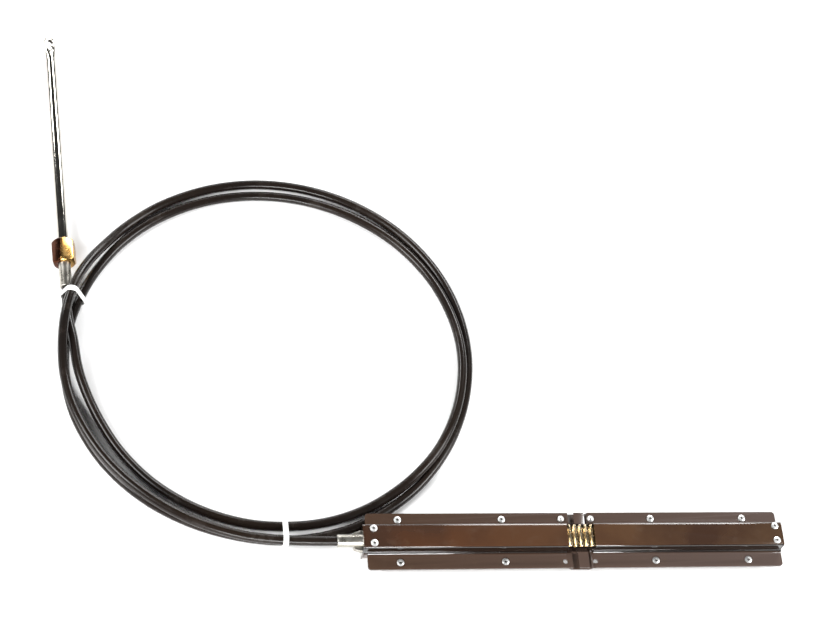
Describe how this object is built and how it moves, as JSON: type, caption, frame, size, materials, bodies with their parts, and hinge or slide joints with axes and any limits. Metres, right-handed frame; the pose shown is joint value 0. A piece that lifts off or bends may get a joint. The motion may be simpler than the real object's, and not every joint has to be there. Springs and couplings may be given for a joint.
{
  "type": "boat steering cable",
  "caption": "Boat steering cable with a long flanged rack housing, a coiled black conduit and a sliding output ram with a coupling nut and a flattened eye.",
  "frame": {"origin": "middle of the pinion window, on the housing's back face", "axes": "+X along the housing, away from the cable; +Z out of the back face towards the pinion window; +Y towards the pair of helm screws"},
  "size_m": [1.0593, 0.8927, 0.0452],
  "materials": {
    "enamel": "gloss",
    "rivet_metal": "satin",
    "zinc_plate": "satin",
    "brass": "satin",
    "stainless": "polished",
    "conduit_plastic": "gloss",
    "nylon": "satin"
  },
  "bodies": {
    "housing": {"back_channel": "enamel", "cover_left": "enamel", "cover_right": "enamel", "centre_saddle": "enamel", "end_cap_left": "enamel", "end_cap_right": "enamel", "flange_rivet_1": "rivet_metal", "flange_rivet_2": "rivet_metal", "flange_rivet_3": "rivet_metal", "flange_rivet_4": "rivet_metal", "flange_rivet_5": "rivet_metal", "flange_rivet_6": "rivet_metal", "flange_rivet_7": "rivet_metal", "flange_rivet_8": "rivet_metal", "end_rivet_1": "rivet_metal", "end_rivet_2": "rivet_metal", "end_rivet_3": "rivet_metal", "end_rivet_4": "rivet_metal", "dome_screw_1": "rivet_metal", "dome_screw_2": "rivet_metal", "anchor_ferrule": "zinc_plate", "anchor_socket": "zinc_plate", "conduit": "conduit_plastic", "tie_lower": "nylon", "tie_upper": "nylon", "output_fitting": "zinc_plate", "guide_tube": "stainless"},
    "rack": {"rack": "brass", "core_rod": "stainless"},
    "ram": {"ram": "stainless"},
    "nut": {"coupling_nut": "brass"}
  },
  "joints": [
    {"name": "rack_slide", "type": "slide", "parent": "housing", "child": "rack", "axis": [-1, 0, 0], "range_m": [0, 0.229]},
    {"name": "ram_slide", "type": "slide", "parent": "housing", "child": "ram", "axis": [-0.0654, 0.9979, 0], "range_m": [0, 0.229]},
    {"name": "nut_spin", "type": "hinge", "parent": "housing", "child": "nut", "pos_m": [-0.72573, 0.45958, 0.0179], "axis": [-0.0654, 0.9979, 0], "continuous": true}
  ],
  "couplings": [
    {"joint": "ram_slide", "follows": "rack_slide", "ratio": 1}
  ]
}
